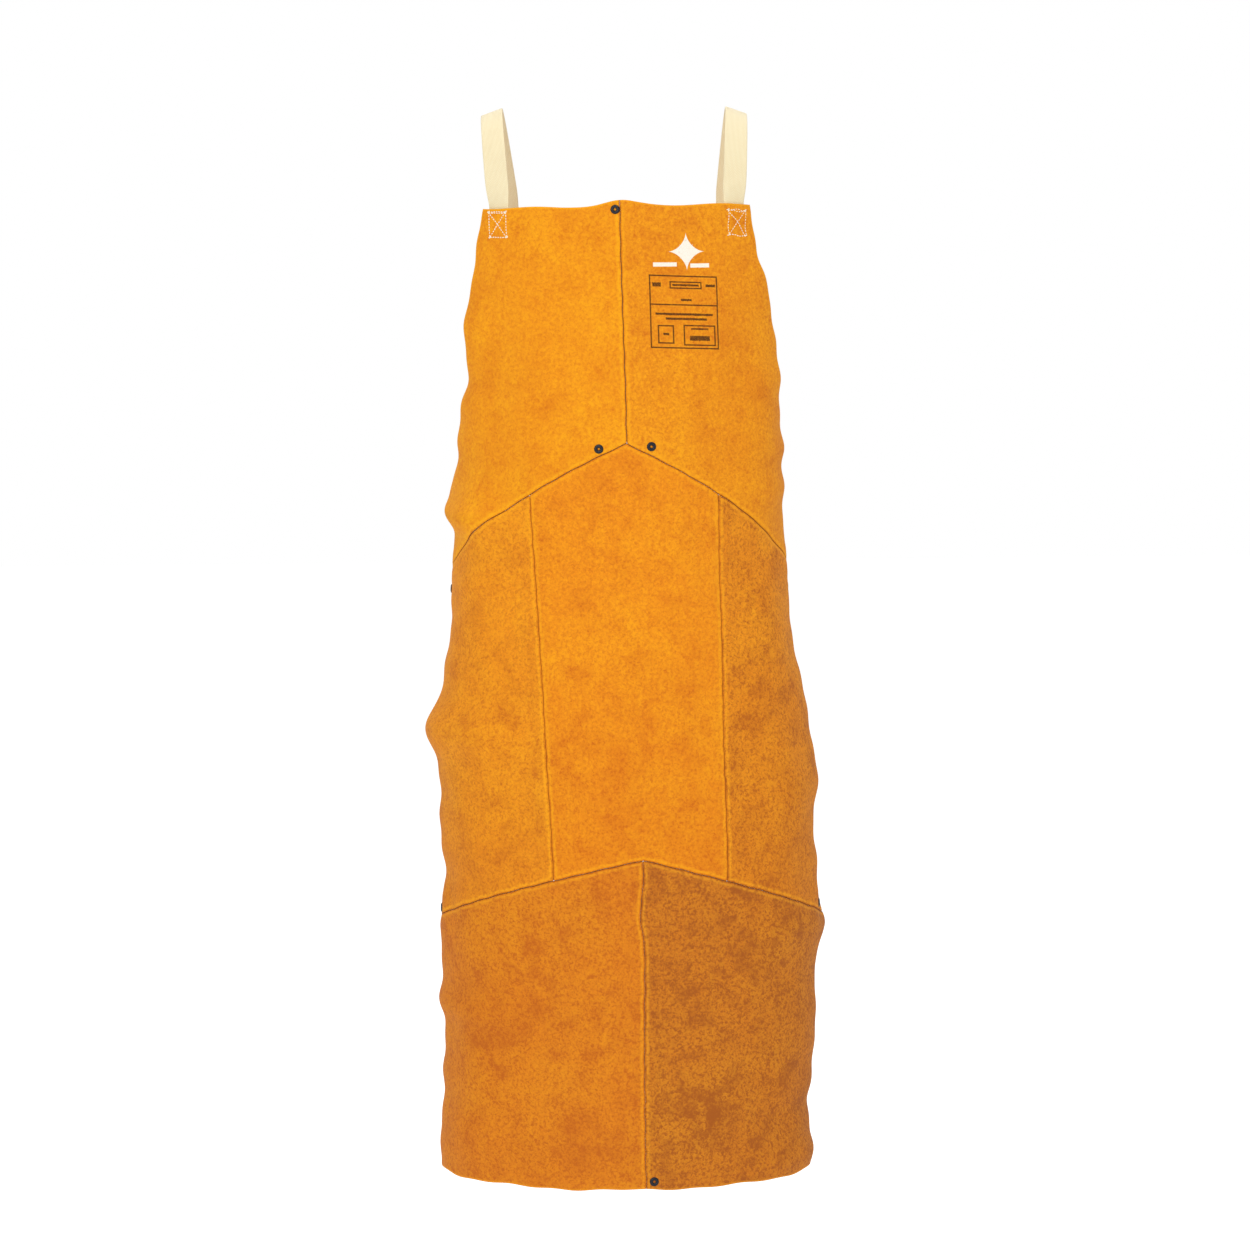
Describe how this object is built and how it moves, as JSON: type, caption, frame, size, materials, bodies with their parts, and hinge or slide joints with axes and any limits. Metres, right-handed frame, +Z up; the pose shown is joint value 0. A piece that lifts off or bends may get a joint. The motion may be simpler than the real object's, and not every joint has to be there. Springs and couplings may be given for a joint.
{
  "type": "welding apron",
  "caption": "Split-leather bib apron for welding, sewn from seven panels, with two cream webbing straps that cross at the back and click into side-release buckles at the waist.",
  "frame": {"origin": "between the wearer's shoulders, midway between the two straps and level with the top of the straps where they cross the shoulders", "axes": "+Z up, the apron's front faces -Y, +X is to the right of someone looking at its front"},
  "size_m": [0.428, 0.2628, 1.177],
  "materials": {
    "golden_leather": "napped split cowhide, golden orange",
    "brown_leather": "napped split cowhide, browner orange",
    "thread": "spun aramid sewing thread",
    "webbing": "plain-woven cream webbing",
    "rivet_enamel": "dark navy enamel",
    "rivet_copper": "dull copper",
    "rivet_steel": "zinc-plated steel",
    "buckle_plastic": "moulded black plastic"
  },
  "bodies": {
    "apron": {"bib_panel_left": "golden_leather", "bib_panel_right": "golden_leather", "body_centre_panel": "golden_leather", "body_side_panel_left": "golden_leather", "body_side_panel_right": "golden_leather", "skirt_panel_left": "golden_leather", "skirt_panel_right": "brown_leather", "bib_centre_thread": "thread", "bib_foot_thread": "thread", "body_thread_left": "thread", "body_thread_right": "thread", "skirt_top_thread": "thread", "skirt_centre_thread": "thread", "box_stitching_left": "thread", "box_stitching_right": "thread", "shoulder_strap_left": "webbing", "shoulder_strap_right": "webbing", "side_tab_left": "webbing", "side_tab_right": "webbing", "buckle_socket_left": "buckle_plastic", "buckle_socket_right": "buckle_plastic", "rivet_rings": "rivet_enamel", "rivet_posts": "rivet_copper", "rivet_washers": "rivet_steel"},
    "plug_left": {"buckle_plug_left": "buckle_plastic", "strap_end_right": "webbing"},
    "arm_left_front": {"latch_arm_left_front": "buckle_plastic"},
    "arm_left_back": {"latch_arm_left_back": "buckle_plastic"},
    "plug_right": {"buckle_plug_right": "buckle_plastic", "strap_end_left": "webbing"},
    "arm_right_front": {"latch_arm_right_front": "buckle_plastic"},
    "arm_right_back": {"latch_arm_right_back": "buckle_plastic"}
  },
  "joints": [
    {"name": "buckle_left_slide", "type": "slide", "parent": "apron", "child": "plug_left", "axis": [0.4833, 0.3875, 0.785], "range_m": [0, 0.028], "deforming": ["strap_end_right"]},
    {"name": "latch_left_front_flex", "type": "hinge", "parent": "plug_left", "child": "arm_left_front", "pos_m": [-0.14076, 0.06801, -0.40855], "axis": [0.5987, -0.8005, 0.0266], "range_deg": [0, 6], "stiffness_Nm_per_rad": 1},
    {"name": "latch_left_back_flex", "type": "hinge", "parent": "plug_left", "child": "arm_left_back", "pos_m": [-0.12735, 0.07761, -0.42155], "axis": [-0.5987, 0.8005, -0.0266], "range_deg": [0, 6], "stiffness_Nm_per_rad": 1},
    {"name": "buckle_right_slide", "type": "slide", "parent": "apron", "child": "plug_right", "axis": [-0.4791, 0.3702, 0.7959], "range_m": [0, 0.028], "deforming": ["strap_end_left"]},
    {"name": "latch_right_front_flex", "type": "hinge", "parent": "plug_right", "child": "arm_right_front", "pos_m": [0.13524, 0.07261, -0.40807], "axis": [0.5716, 0.8197, -0.0371], "range_deg": [0, 6], "stiffness_Nm_per_rad": 1},
    {"name": "latch_right_back_flex", "type": "hinge", "parent": "plug_right", "child": "arm_right_back", "pos_m": [0.12125, 0.08179, -0.42077], "axis": [-0.5716, -0.8197, 0.0371], "range_deg": [0, 6], "stiffness_Nm_per_rad": 1}
  ]
}
